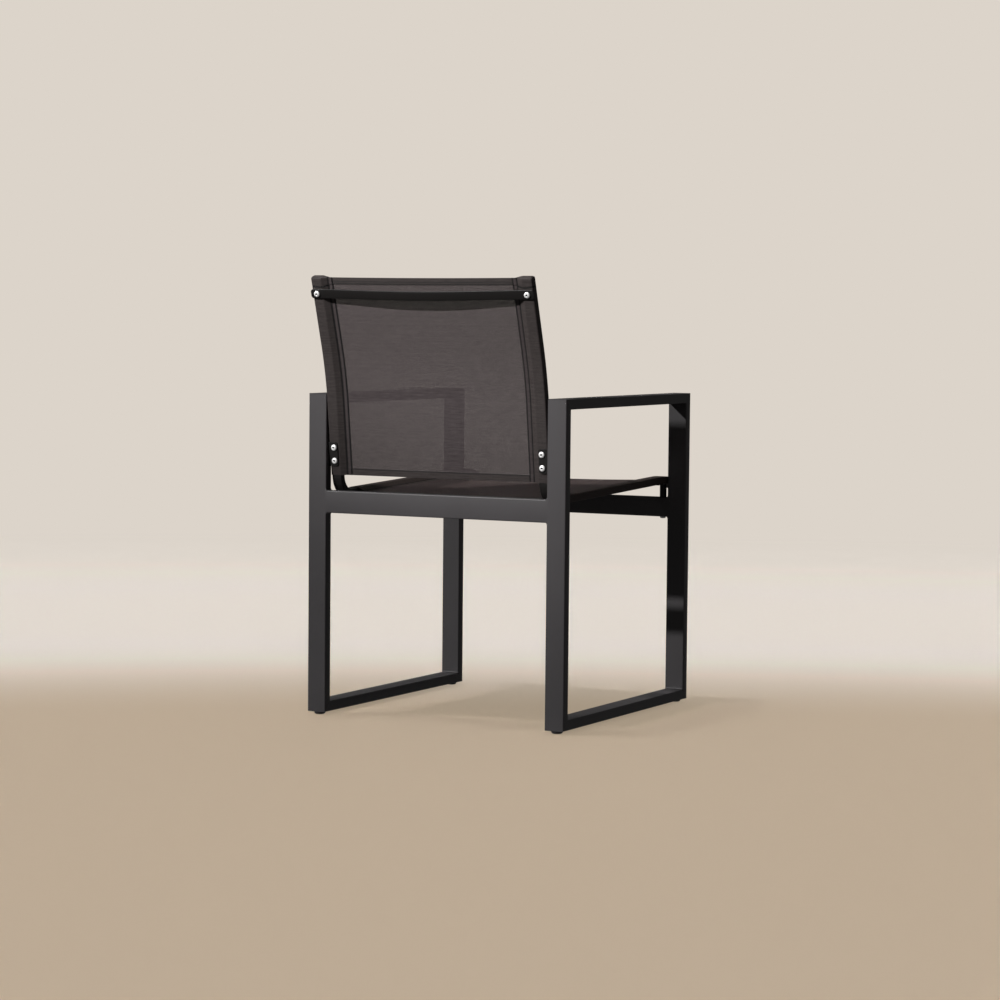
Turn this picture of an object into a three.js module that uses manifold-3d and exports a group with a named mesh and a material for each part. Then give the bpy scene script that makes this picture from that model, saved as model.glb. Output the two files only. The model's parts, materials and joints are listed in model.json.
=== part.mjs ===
// Sling patio armchair: two closed side loops of rectangular aluminium tube, two cross rails, and two bent
// side rails that carry a fabric back and a fabric seat. Millimetres, +Z up, +Y towards the front of the seat,
// +X to the right hand of the person who sits in it. The origin is on the floor, in the middle of the footprint.
import * as THREE from "three";
import { mergeVertices } from "three/addons/utils/BufferGeometryUtils.js";
import Module from "manifold-3d";

const wasm = await Module();
wasm.setup();

// Side loops
const overallWidth = 565;
const loopDepth = 568;
const armHeight = 634;
const legWidth = 40;
const legThickness = 20;
const legCornerRadius = 2;
const legWall = 1.5;
const mitreGap = 0.3;

// Cross rails between the loops
const rearRailHeight = 44;
const rearRailTop = 444;
const frontRailHeight = 40;
const frontRailTop = 420;
const weldGap = 0.2;
const weldFillet = 4.5;

// Side rails of the slings
const railWidth = 22;
const railDepth = 14;
const railCornerRadius = 3;
const railWall = 1.5;
const seatSlope = THREE.MathUtils.degToRad(2.1);
const seatBendRadius = 36;
const lumbarLean = THREE.MathUtils.degToRad(7);
const lumbarLength = 143;
const shoulderRadius = 700;
const topLean = THREE.MathUtils.degToRad(17);
const topLength = 134;
const crownRadius = 300;
const boltSlope = THREE.MathUtils.degToRad(5);
const noseRadius = 70;
const noseSlope = THREE.MathUtils.degToRad(32);

// Slings
const slingThickness = 0.8;
const sleeveEase = 0.2;
const sleeveLead = 1;
const seamOffset = 24;
const flapWidth = 9;
const hemWidth = 14;
const hemStep = 0.5;
const pocketStart = 1.5;
const backSag = [0.5, 3, 4];
const seatSag = [3.3, 8, 4];
const seatSleeveStart = 21;
const plugFlange = 2;
const plugSpigot = 6;
const plugEase = 0.4;

// Brackets that hold the back to the rear legs
const bracketThickness = 2;
const bracketHeight = 47;
const bracketReach = 21.5;
const bracketGrip = 16;
const bracketBend = 3;
const bracketCorner = 5;
const bracketSetback = 18;
const bracketLevel = 516.5;
const bracketPitch = 26;

// Spreader bar across the back
const barHeight = 18;
const barThickness = 3;
const barOverhang = 13.7;
const barEndRadius = 5;
const barEdgeRadius = 0.8;
const barBow = 13;
const barBelowTop = 29.5;

// Screws, bolts and threaded nuts
const screwRadius = 3;
const screwHeadRadius = 6;
const screwHeadHeight = 3.6;
const screwHeadRim = 1.4;
const socketRadius = 2.3;
const socketDepth = 2;
const screwTip = 0.8;
const holeRadius = 3.3;
const nutRadius = 5;
const nutLength = 6;
const shankBeyondNut = 0.8;
const seatGap = 0.2;

// Spacers between the seat rails and the front rail
const spacerRadius = 7;
const spacerHeight = 26;

// Levelling glides
const glideHeight = 6;
const glideInset = 14;
const glideRadius = 11;
const glideFloorRadius = 7.5;
const glideRim = 2.6;
const glideCrown = 1.2;
const stemRadius = 4;
const stemLength = 22;
const stemTip = 1;
const stemEase = 0.3;
const stemHoleEase = 0.5;
const insertRadius = 6.5;
const insertLength = 10;

// Mesh fineness and the overrun of cutting tools
const cornerSteps = 2;
const flareSteps = 2;
const roundSteps = 16;
const panelSteps = 6;
const barSteps = 14;
const leastStep = 0.5;
const clothStep = 46;
const overrun = 2;

const coat = new THREE.MeshStandardMaterial({ color: 0x464547, roughness: 0.55, metalness: 0.35 });
const railCoat = new THREE.MeshStandardMaterial({ color: 0x141313, roughness: 0.5, metalness: 0.3 });
const steel = new THREE.MeshStandardMaterial({ color: 0xdedcda, roughness: 0.3, metalness: 1 });
const zinc = new THREE.MeshStandardMaterial({ color: 0x9a9a98, roughness: 0.45, metalness: 1 });
const backCloth = new THREE.MeshStandardMaterial({ color: 0x524d4c, roughness: 0.9, metalness: 0 });
const seatCloth = new THREE.MeshStandardMaterial({ color: 0x463a39, roughness: 0.9, metalness: 0 });
const blackPlastic = new THREE.MeshStandardMaterial({ color: 0x101010, roughness: 0.6, metalness: 0 });

const chair = new THREE.Group();

// Adds one piece to a parent, placed by a matrix when one is given.
function addPiece(name, geometry, material, matrix = new THREE.Matrix4(), parent = chair) {
  const mesh = new THREE.Mesh(geometry, material);
  mesh.name = name;
  mesh.applyMatrix4(matrix);
  parent.add(mesh);
  return mesh;
}

// Closed mesh to solid, with shared vertices merged, and back again.
function solidOf(geometry) {
  const bare = geometry.clone();
  bare.deleteAttribute("normal");
  bare.deleteAttribute("uv");
  const merged = mergeVertices(bare);
  const vertProperties = new Float32Array(merged.attributes.position.array);
  const triVerts = new Uint32Array(merged.index.array);
  return new wasm.Manifold(new wasm.Mesh({ numProp: 3, vertProperties, triVerts }));
}

function geometryOf(solid) {
  const mesh = solid.getMesh();
  const geometry = new THREE.BufferGeometry();
  geometry.setAttribute("position", new THREE.BufferAttribute(mesh.vertProperties, 3));
  geometry.setIndex(new THREE.BufferAttribute(mesh.triVerts, 1));
  geometry.computeVertexNormals();
  return geometry;
}

function cutAway(geometry, cutters) {
  return geometryOf(cutters.reduce((solid, cutter) => solid.subtract(solidOf(cutter)), solidOf(geometry)));
}

function keepInside(geometry, envelope) {
  return geometryOf(solidOf(geometry).intersect(solidOf(envelope)));
}

// Rectangle with round corners, centred on the origin.
function roundedRectangle(width, height, radius) {
  const right = width / 2 - radius;
  const top = height / 2 - radius;
  const shape = new THREE.Shape();
  shape.absarc(right, top, radius, 0, Math.PI / 2);
  shape.absarc(-right, top, radius, Math.PI / 2, Math.PI);
  shape.absarc(-right, -top, radius, Math.PI, 1.5 * Math.PI);
  shape.absarc(right, -top, radius, 1.5 * Math.PI, 2 * Math.PI);
  return shape;
}

// Section of a hollow tube: the outside with the bore as a hole in it.
function tubeSection(width, height, radius, wall) {
  const section = roundedRectangle(width, height, radius);
  const bore = roundedRectangle(width - 2 * wall, height - 2 * wall, radius - wall);
  section.holes.push(new THREE.Path(bore.getPoints(cornerSteps).reverse()));
  return section;
}

// Round rod along Z from one height to another, used as a drill and as a plain pin.
function rod(radius, from, to) {
  const geometry = new THREE.CylinderGeometry(radius, radius, to - from, roundSteps);
  geometry.rotateX(Math.PI / 2);
  geometry.translate(0, 0, (from + to) / 2);
  return geometry;
}

// Turned piece about Z from a profile of [radius, height] points.
function turned(profile) {
  const points = profile.map(([radius, height]) => new THREE.Vector2(radius, height));
  const geometry = new THREE.LatheGeometry(points, roundSteps);
  geometry.rotateX(Math.PI / 2);
  return geometry;
}

// Turned ring about Z with a bore, closed on itself.
function ring(bore, radius, from, to) {
  return turned([
    [bore, from],
    [radius, from],
    [radius, to],
    [bore, to],
    [bore, from],
  ]);
}

// Tube whose two ends are mitred at 45 degrees, along Z. Its outer face looks along -Y and is the long one.
function mitredTube(length) {
  const section = tubeSection(legWidth, legThickness, legCornerRadius, legWall);
  const geometry = new THREE.ExtrudeGeometry(section, {
    depth: length,
    bevelEnabled: false,
    curveSegments: cornerSteps,
  });
  geometry.translate(0, 0, -length / 2);
  const position = geometry.attributes.position;
  const setBack = mitreGap / Math.SQRT2;
  for (let i = 0; i < position.count; i += 1) {
    const fromOuterFace = position.getY(i) + legThickness / 2;
    const end = Math.sign(position.getZ(i));
    position.setZ(i, end * (length / 2 - fromOuterFace - setBack));
  }
  return geometry;
}

// Side loops: rear leg, arm, front leg and floor rail, mitred and welded into one closed frame each side.
const loopHeight = armHeight - glideHeight;
const loopCentreX = (overallWidth - legWidth) / 2;
const loopCentreY = loopDepth / 2;
const loopCentreZ = glideHeight + loopHeight / 2;
const legReach = loopDepth / 2 - legThickness / 2;
const armReach = loopHeight / 2 - legThickness / 2;
const glideSpread = loopDepth / 2 - glideInset;

const stemDrills = [-1, 1].map((end) => {
  const drill = rod(stemRadius + stemHoleEase, -overrun, legWall + overrun);
  drill.rotateX(-Math.PI / 2);
  drill.translate(0, -legThickness / 2, end * glideSpread);
  return drill;
});
const loopTubes = [
  ["rear_leg", mitredTube(loopHeight), 0, [0, -legReach, 0]],
  ["arm", mitredTube(loopDepth), -Math.PI / 2, [0, 0, armReach]],
  ["front_leg", mitredTube(loopHeight), Math.PI, [0, legReach, 0]],
  ["floor_rail", cutAway(mitredTube(loopDepth), stemDrills), Math.PI / 2, [0, 0, -armReach]],
];
const sides = [
  ["left", -1],
  ["right", 1],
];
for (const [sideName, side] of sides) {
  const loop = new THREE.Group();
  loop.position.set(side * loopCentreX, loopCentreY, loopCentreZ);
  chair.add(loop);
  for (const [tubeName, geometry, turn, place] of loopTubes) {
    const matrix = new THREE.Matrix4().makeRotationX(turn).setPosition(...place);
    addPiece(`${sideName}_${tubeName}`, geometry, coat, matrix, loop);
  }
}

// Skin over a row of stations. Each station turns a point of the outline into a place in space.
function loft(outline, holes, stations) {
  const flat = [outline, ...holes].flat();
  const positions = stations.flatMap((station) => flat.flatMap((point) => station(point).toArray()));
  const caps = THREE.ShapeUtils.triangulateShape(outline, holes);
  const last = (stations.length - 1) * flat.length;
  const indices = [];
  for (const [a, b, c] of caps) {
    indices.push(a, c, b, last + a, last + b, last + c);
  }
  let start = 0;
  for (const contour of [outline, ...holes]) {
    for (let row = 0; row < stations.length - 1; row += 1) {
      for (let i = 0; i < contour.length; i += 1) {
        const here = row * flat.length + start + i;
        const next = row * flat.length + start + ((i + 1) % contour.length);
        const up = flat.length;
        indices.push(here, next, next + up, here, next + up, here + up);
      }
    }
    start += contour.length;
  }
  const geometry = new THREE.BufferGeometry();
  geometry.setAttribute("position", new THREE.Float32BufferAttribute(positions, 3));
  geometry.setIndex(indices);
  return geometry;
}

// Cross rail along X, hollow, whose last few millimetres widen up and down into the weld at each leg.
function crossRail(height) {
  const section = tubeSection(legThickness, height, legCornerRadius, legWall).extractPoints(cornerSteps);
  const halfLength = overallWidth / 2 - legWidth - weldGap;
  const flare = Array.from({ length: flareSteps + 1 }, (_, i) => (i / flareSteps) * (Math.PI / 2));
  const ends = flare.map((angle) => ({
    x: halfLength - weldFillet * Math.sin(angle),
    grow: weldFillet * (1 - Math.cos(Math.PI / 2 - angle)),
  }));
  const cuts = [...ends.map(({ x, grow }) => ({ x: -x, grow })), ...ends.reverse()];
  const stations = cuts.map(({ x, grow }) => (point) => {
    return new THREE.Vector3(x, point.x, point.y + Math.sign(point.y) * grow);
  });
  return loft(section.shape, section.holes, stations);
}

const railCentreX =
  overallWidth / 2 - legWidth - bracketThickness - seatGap - slingThickness - sleeveEase - railWidth / 2;
const frontRailCentreY = loopDepth - legThickness / 2;
const boltDrills = sides.map(([, side]) => {
  const drill = rod(holeRadius, -frontRailHeight / 2 - overrun, frontRailHeight / 2 + overrun);
  drill.translate(side * railCentreX, 0, 0);
  return drill;
});
addPiece(
  "rear_cross_rail",
  crossRail(rearRailHeight),
  coat,
  new THREE.Matrix4().makeTranslation(0, legThickness / 2, rearRailTop - rearRailHeight / 2),
);
addPiece(
  "front_cross_rail",
  cutAway(crossRail(frontRailHeight), boltDrills),
  coat,
  new THREE.Matrix4().makeTranslation(0, frontRailCentreY, frontRailTop - frontRailHeight / 2),
);

// Line of the side rails in the YZ plane, from the nose of the seat to the top of the back, in runs and bends.
// A run keeps its pitch, the angle above level on the way to the rear, and a bend turns it.
class RailLine extends THREE.Curve {
  constructor(runs, start, pitch) {
    super();
    this.runs = [];
    let from = 0;
    for (const { length, turn = 0, steps } of runs) {
      this.runs.push({ from, length, turn, steps, start: start.clone(), pitch });
      start = this.along(this.runs.at(-1), length).place;
      pitch += turn;
      from += length;
    }
    this.total = from;
    this.marks = [0];
    for (const run of this.runs) {
      for (let i = 1; i <= run.steps; i += 1) {
        this.marks.push(run.from + (run.length * i) / run.steps);
      }
    }
  }

  // Place and pitch at a distance along one run.
  along(run, distance) {
    const place = run.start.clone();
    if (run.turn === 0) {
      const onward = new THREE.Vector3(0, -Math.cos(run.pitch), Math.sin(run.pitch));
      return { place: place.addScaledVector(onward, distance), pitch: run.pitch };
    }
    const radius = run.length / run.turn;
    const pitch = run.pitch + distance / radius;
    place.y -= radius * (Math.sin(pitch) - Math.sin(run.pitch));
    place.z -= radius * (Math.cos(pitch) - Math.cos(run.pitch));
    return { place, pitch };
  }

  // Place and pitch at a distance along the whole line, which goes straight on beyond its two ends.
  at(distance) {
    const reach = THREE.MathUtils.clamp(distance, 0, this.total);
    const run = this.runs.findLast((candidate) => candidate.from <= reach);
    const { place, pitch } = this.along(run, reach - run.from);
    const onward = new THREE.Vector3(0, -Math.cos(pitch), Math.sin(pitch));
    return { place: place.addScaledVector(onward, distance - reach), pitch };
  }

  // The parameter runs through the marks evenly, so bends get many short steps and straight runs few.
  distanceAt(t) {
    const mark = Math.min(t * (this.marks.length - 1), this.marks.length - 1);
    const low = Math.min(Math.floor(mark), this.marks.length - 2);
    return THREE.MathUtils.lerp(this.marks[low], this.marks[low + 1], mark - low);
  }

  getPoint(t) {
    return this.at(this.distanceAt(t)).place;
  }

  getTangent(t) {
    const { pitch } = this.at(this.distanceAt(t));
    return new THREE.Vector3(0, -Math.cos(pitch), Math.sin(pitch));
  }

  getUtoTmapping(u) {
    return u;
  }

  // Distances between two places: both ends, the marks and more where two of these lie far apart.
  marksBetween(from, to) {
    const inside = this.marks.filter((mark) => mark > from + leastStep && mark < to - leastStep);
    return [...inside, to].reduce(
      (distances, mark) => {
        const last = distances.at(-1);
        const steps = Math.ceil((mark - last) / clothStep);
        const more = Array.from({ length: steps }, (_, i) => last + ((mark - last) * (i + 1)) / steps);
        return [...distances, ...more];
      },
      [from],
    );
  }

  // Frame on the rail: X across, Y along it, Z out of its rear or under side.
  frameAt(distance, x = 0, out = 0) {
    const { place, pitch } = this.at(distance);
    const along = new THREE.Vector3(0, -Math.cos(pitch), Math.sin(pitch));
    const outward = new THREE.Vector3(0, -Math.sin(pitch), -Math.cos(pitch));
    const matrix = new THREE.Matrix4().makeBasis(new THREE.Vector3(1, 0, 0), along, outward);
    return matrix.setPosition(place.addScaledVector(outward, out).setX(x));
  }
}

// The seat run is as long as it takes to bring the back through its setback at the height of the brackets, and
// the line's height comes from the spacer on the front rail.
const sleeveHalfDepth = railDepth / 2 + sleeveEase + slingThickness;
const crownTurn = seatSlope + boltSlope;
const noseTurn = noseSlope - boltSlope;
const bendTurn = Math.PI / 2 - lumbarLean + seatSlope;
const shoulderTurn = topLean - lumbarLean;
function railRuns(seatLength) {
  return [
    { length: noseRadius * noseTurn, turn: -noseTurn, steps: 4 },
    { length: crownRadius * crownTurn, turn: -crownTurn, steps: 2 },
    { length: seatLength, steps: 1 },
    { length: seatBendRadius * bendTurn, turn: bendTurn, steps: 9 },
    { length: lumbarLength, steps: 1 },
    { length: shoulderRadius * shoulderTurn, turn: -shoulderTurn, steps: 4 },
    { length: topLength, steps: 1 },
  ];
}
const boltDistance = noseRadius * noseTurn;
const boltHeight = frontRailTop + spacerHeight + sleeveHalfDepth + 2 * seatGap;
const noseRise = noseRadius * (Math.cos(boltSlope) - Math.cos(noseSlope));
const noseForward = noseRadius * (Math.sin(noseSlope) - Math.sin(boltSlope));
const noseTip = new THREE.Vector3(0, frontRailCentreY + noseForward, boltHeight - noseRise);
function lumbarStart(line) {
  return line.runs[4];
}
const trial = new RailLine(railRuns(0), noseTip, noseSlope);
const trialFoot = lumbarStart(trial).start;
const trialSetback = trialFoot.y - (bracketLevel - trialFoot.z) * Math.tan(lumbarLean);
const setbackPerRun = Math.cos(seatSlope) + Math.sin(seatSlope) * Math.tan(lumbarLean);
const seatLength = (trialSetback - bracketSetback) / setbackPerRun;
const railLine = new RailLine(railRuns(seatLength), noseTip, noseSlope);

const lumbarFrom = lumbarStart(railLine).from;
const bracketDistance =
  lumbarFrom + (bracketLevel - lumbarStart(railLine).start.z) / Math.cos(lumbarLean);
const bracketScrews = [-bracketPitch / 2, bracketPitch / 2].map((offset) => bracketDistance + offset);
const barDistance = railLine.total - barBelowTop;
const backScrews = [...bracketScrews, barDistance];

// Drills through the outer wall of a rail and the cloth that covers it: square to the back, and upright through
// the seat.
const headDown = new THREE.Matrix4().makeRotationX(Math.PI);
function railDrill() {
  return rod(holeRadius, railDepth / 2 - railWall - overrun, sleeveHalfDepth + overrun);
}
function backDrills(side) {
  return backScrews.map((distance) => {
    return railDrill().applyMatrix4(railLine.frameAt(distance, side * railCentreX));
  });
}
function seatDrill(side) {
  const place = new THREE.Matrix4().makeTranslation(side * railCentreX, frontRailCentreY, boltHeight);
  return railDrill().applyMatrix4(place.multiply(headDown));
}

// Side rails: one bent tube each side, from the nose of the seat to the top of the back.
for (const [sideName, side] of sides) {
  const tube = new THREE.ExtrudeGeometry(tubeSection(railWidth, railDepth, railCornerRadius, railWall), {
    steps: railLine.marks.length - 1,
    extrudePath: railLine,
    curveSegments: cornerSteps,
  });
  tube.translate(side * railCentreX, 0, 0);
  addPiece(`${sideName}_sling_rail`, cutAway(tube, [...backDrills(side), seatDrill(side)]), railCoat);
}

// End plugs: a flange the size of the tube and a spigot inside it.
function endPlug() {
  const flange = new THREE.ExtrudeGeometry(roundedRectangle(railWidth, railDepth, railCornerRadius), {
    depth: plugFlange,
    bevelEnabled: false,
    curveSegments: cornerSteps,
  });
  flange.translate(0, 0, seatGap);
  const fit = railWall + plugEase;
  const spigot = new THREE.ExtrudeGeometry(
    roundedRectangle(railWidth - 2 * fit, railDepth - 2 * fit, railCornerRadius - railWall),
    { depth: plugSpigot + seatGap + plugFlange / 2, bevelEnabled: false, curveSegments: cornerSteps },
  );
  spigot.translate(0, 0, -plugSpigot);
  return geometryOf(solidOf(flange).add(solidOf(spigot)));
}
const intoTopEnd = new THREE.Matrix4().makeRotationX(-Math.PI / 2);
const intoNoseEnd = new THREE.Matrix4().makeRotationX(Math.PI / 2);
for (const [sideName, side] of sides) {
  const x = side * railCentreX;
  const top = railLine.frameAt(railLine.total, x).multiply(intoTopEnd);
  const nose = railLine.frameAt(0, x).multiply(intoNoseEnd);
  addPiece(`${sideName}_back_rail_plug`, endPlug(), blackPlastic, top);
  addPiece(`${sideName}_seat_rail_plug`, endPlug(), blackPlastic, nose);
}

// Section of a sling: a thin panel whose edge folds round the rail and is sewn down on the panel's outer side,
// in a flap of two layers.
const seamX = railCentreX - seamOffset;
const flapX = seamX - flapWidth;
const sleeveHalfWidth = railWidth / 2 + sleeveEase + slingThickness;
const sleeveCorner = railCornerRadius + sleeveEase + slingThickness;
function slingOutline() {
  const half = slingThickness / 2;
  const lead = railCentreX - railWidth / 2 + sleeveLead;
  const right = railCentreX + sleeveHalfWidth - sleeveCorner;
  const top = sleeveHalfDepth - sleeveCorner;
  const edge = new THREE.Path();
  edge.moveTo(flapX, -half);
  edge.lineTo(flapX, -half - slingThickness);
  edge.lineTo(seamX, -half - slingThickness);
  edge.lineTo(lead, -sleeveHalfDepth);
  edge.absarc(right, -top, sleeveCorner, 1.5 * Math.PI, 2 * Math.PI);
  edge.absarc(right, top, sleeveCorner, 0, Math.PI / 2);
  edge.lineTo(lead, sleeveHalfDepth);
  edge.lineTo(seamX, half);
  const rightEdge = edge.getPoints(cornerSteps);
  const leftEdge = rightEdge.map((point) => new THREE.Vector2(-point.x, point.y)).reverse();
  const across = Array.from({ length: 2 * panelSteps - 1 }, (_, i) => 1 - (i + 1) / panelSteps);
  const upper = across.map((share) => new THREE.Vector2(share * seamX, half));
  const lower = across.map((share) => new THREE.Vector2(-share * flapX, -half));
  return [...rightEdge, ...upper, ...leftEdge, ...lower];
}

// Section of the pocket in a sleeve, one cloth thickness inside its outline.
function pocketOutline(side) {
  const lead = railCentreX - railWidth / 2 + sleeveLead + sleeveEase;
  const depth = sleeveHalfDepth - slingThickness;
  const corner = sleeveCorner - slingThickness;
  const right = railCentreX + sleeveHalfWidth - slingThickness - corner;
  const edge = new THREE.Path();
  edge.moveTo(seamX + pocketStart, 0);
  edge.lineTo(lead, -depth);
  edge.absarc(right, corner - depth, corner, 1.5 * Math.PI, 2 * Math.PI);
  edge.absarc(right, depth - corner, corner, 0, Math.PI / 2);
  edge.lineTo(lead, depth);
  const points = edge.getPoints(cornerSteps);
  return side > 0 ? points : points.map((point) => new THREE.Vector2(-point.x, -point.y));
}

// Stations along the rail line. The cloth between the seams sags away from the person, by a curve through the
// three depths given for the first hem, the middle and the last hem. In a hem the panel is two layers thick.
function slingStation(distance, depth, hemThickness) {
  const frame = railLine.frameAt(distance);
  return (point) => {
    const across = Math.min(Math.abs(point.x) / seamX, 1);
    const outer = point.y < 0 && Math.abs(point.x) < flapX ? hemThickness : 0;
    return new THREE.Vector3(point.x, 0, depth * (1 - across * across) + outer - point.y).applyMatrix4(frame);
  };
}

// A sling runs from one distance to another. Its sleeves are open at the bend and closed over the rail's end.
function sling(from, to, [first, middle, last], pocketFrom, pocketTo, drills) {
  const depthAt = (distance) => {
    const share = (distance - from) / (to - from);
    const hems = first * (1 - share) * (1 - 2 * share) + last * share * (2 * share - 1);
    return hems + 4 * middle * share * (1 - share);
  };
  const inner = railLine.marksBetween(from + hemWidth, to - hemWidth);
  const hem = (distances) => distances.map((distance) => slingStation(distance, depthAt(distance), slingThickness));
  const stations = [
    ...hem([from, from + hemWidth - hemStep]),
    ...inner.map((distance) => slingStation(distance, depthAt(distance), 0)),
    ...hem([to - hemWidth + hemStep, to]),
  ];
  const cloth = loft(slingOutline(), [], stations);
  const pockets = [-1, 1].map((side) => {
    const rows = railLine.marksBetween(pocketFrom, pocketTo).map((distance) => slingStation(distance, 0, 0));
    return loft(pocketOutline(side), [], rows);
  });
  return cutAway(cloth, [...pockets, ...drills]);
}
const clothReach = plugFlange + 2 * seatGap;
const backTop = railLine.total + clothReach;
const seatSleeveTo = lumbarFrom - seatBendRadius * bendTurn - seatSleeveStart;
addPiece(
  "back_sling",
  sling(
    lumbarFrom,
    backTop + slingThickness,
    backSag,
    lumbarFrom - overrun,
    backTop,
    sides.flatMap(([, side]) => backDrills(side)),
  ),
  backCloth,
);
addPiece(
  "seat_sling",
  sling(
    -clothReach - slingThickness,
    seatSleeveTo,
    seatSag,
    -clothReach,
    seatSleeveTo + overrun,
    sides.map(([, side]) => seatDrill(side)),
  ),
  seatCloth,
);

// Screw along Z: a low domed head with a hexagon socket above zero, and the shank below it.
function screw(shankLength) {
  const body = turned([
    [0, -shankLength],
    [screwRadius - screwTip, -shankLength],
    [screwRadius, screwTip - shankLength],
    [screwRadius, 0],
    [screwHeadRadius, 0],
    [screwHeadRadius, screwHeadRim],
    [screwHeadRadius * Math.cos(Math.PI / 6), (screwHeadRim + screwHeadHeight) / 2],
    [screwHeadRadius / 2, screwHeadHeight],
    [0, screwHeadHeight],
  ]);
  const socket = new THREE.CylinderGeometry(socketRadius, socketRadius, socketDepth + overrun, 6);
  socket.rotateX(Math.PI / 2);
  socket.translate(0, 0, screwHeadHeight - socketDepth + (socketDepth + overrun) / 2);
  return cutAway(body, [socket]);
}

// Threaded nut inside a rail, against the inner face of its outer wall.
const nutTop = railDepth / 2 - railWall - seatGap;
const nut = ring(holeRadius, nutRadius, nutTop - nutLength, nutTop);
const shankEnd = nutTop - nutLength - shankBeyondNut;

// Brackets: an angle with one leaf screwed to the back of the sleeve and the other welded to the rear leg.
const leafBase = sleeveHalfDepth + seatGap;
const leafTop = leafBase + bracketThickness;
function bracket(side) {
  const outer = overallWidth / 2 - legWidth - weldGap / 2;
  const inner = outer - bracketThickness;
  const free = overallWidth / 2 - legWidth - bracketReach;
  const profile = new THREE.Path();
  profile.moveTo(free, leafBase);
  profile.lineTo(inner, leafBase);
  profile.lineTo(inner, leafTop - bracketGrip);
  profile.lineTo(outer, leafTop - bracketGrip);
  profile.absarc(outer - bracketBend, leafTop - bracketBend, bracketBend, 0, Math.PI / 2);
  profile.lineTo(free, leafTop);
  const points = profile.getPoints(cornerSteps).map((point) => new THREE.Vector2(side * point.x, point.y));
  const stations = [-1, 1].map((end) => (point) => {
    return new THREE.Vector3(point.x, (end * bracketHeight) / 2, point.y);
  });
  const angle = loft(side > 0 ? points : points.reverse(), [], stations.reverse());
  const plateWidth = 2 * bracketReach;
  const envelope = new THREE.ExtrudeGeometry(roundedRectangle(plateWidth, bracketHeight, bracketCorner), {
    depth: bracketGrip + 2 * overrun,
    bevelEnabled: false,
    curveSegments: cornerSteps,
  });
  envelope.translate(side * (free + bracketReach), 0, leafTop - bracketGrip - overrun);
  const drills = [-1, 1].map((end) => {
    const drill = rod(holeRadius, leafBase - overrun, leafTop + overrun);
    return drill.translate(side * railCentreX, (end * bracketPitch) / 2, 0);
  });
  return cutAway(keepInside(angle, envelope), drills);
}
const bracketFrame = railLine.frameAt(bracketDistance);
for (const [sideName, side] of sides) {
  addPiece(`${sideName}_back_bracket`, bracket(side), railCoat, bracketFrame);
}

// Spreader bar: a flat bar that bows to the rear between its two screws and lies flat on the sleeves there.
const barLength = 2 * (railCentreX + barOverhang);
const bowReach = railCentreX - screwHeadRadius - seatGap;
class BowLine extends THREE.Curve {
  // The first and last step are flat, the others share out the bow.
  place(t) {
    const step = barSteps * (t - 1 / 2);
    const bowSteps = barSteps / 2 - 1;
    const inBow = Math.min(Math.abs(step) / bowSteps, 1);
    const inFlat = Math.max(Math.abs(step) - bowSteps, 0);
    const x = Math.sign(step) * (inBow * bowReach + inFlat * (barLength / 2 - bowReach));
    const inside = 1 - inBow ** 2;
    const slope = (-3 * barBow * Math.sign(step) * inBow * Math.sqrt(inside)) / bowReach;
    return { x, rise: barBow * inside ** 1.5, slope };
  }

  getPoint(t) {
    const { x, rise } = this.place(t);
    return new THREE.Vector3(x, 0, leafBase + barThickness / 2 + rise);
  }

  getTangent(t) {
    return new THREE.Vector3(1, 0, this.place(t).slope).normalize();
  }

  getUtoTmapping(u) {
    return u;
  }
}
const bar = new THREE.ExtrudeGeometry(roundedRectangle(barThickness, barHeight, barEdgeRadius), {
  steps: barSteps,
  extrudePath: new BowLine(),
  curveSegments: cornerSteps,
});
const barOutline = new THREE.ExtrudeGeometry(roundedRectangle(barLength, barHeight, barEndRadius), {
  depth: barBow + barThickness + 2 * overrun,
  bevelEnabled: false,
  curveSegments: cornerSteps,
});
barOutline.translate(0, 0, leafBase - overrun);
const barDrills = sides.map(([, side]) => {
  const drill = rod(holeRadius, leafBase - overrun, leafBase + barThickness + overrun);
  return drill.translate(side * railCentreX, 0, 0);
});
addPiece(
  "back_spreader_bar",
  cutAway(keepInside(bar, barOutline), barDrills),
  railCoat,
  railLine.frameAt(barDistance),
);

// Screws and nuts that hold the brackets and the bar.
const bracketSeat = leafTop + seatGap;
const barSeat = leafBase + barThickness + seatGap;
const backFasteners = [
  ["lower_bracket", bracketScrews[0], bracketSeat],
  ["upper_bracket", bracketScrews[1], bracketSeat],
  ["spreader_bar", barDistance, barSeat],
];
for (const [sideName, side] of sides) {
  for (const [place, distance, seat] of backFasteners) {
    const x = side * railCentreX;
    const name = `${sideName}_${place}`;
    addPiece(`${name}_screw`, screw(seat - shankEnd), steel, railLine.frameAt(distance, x, seat));
    addPiece(`${name}_nut`, nut, zinc, railLine.frameAt(distance, x));
  }
}

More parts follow.
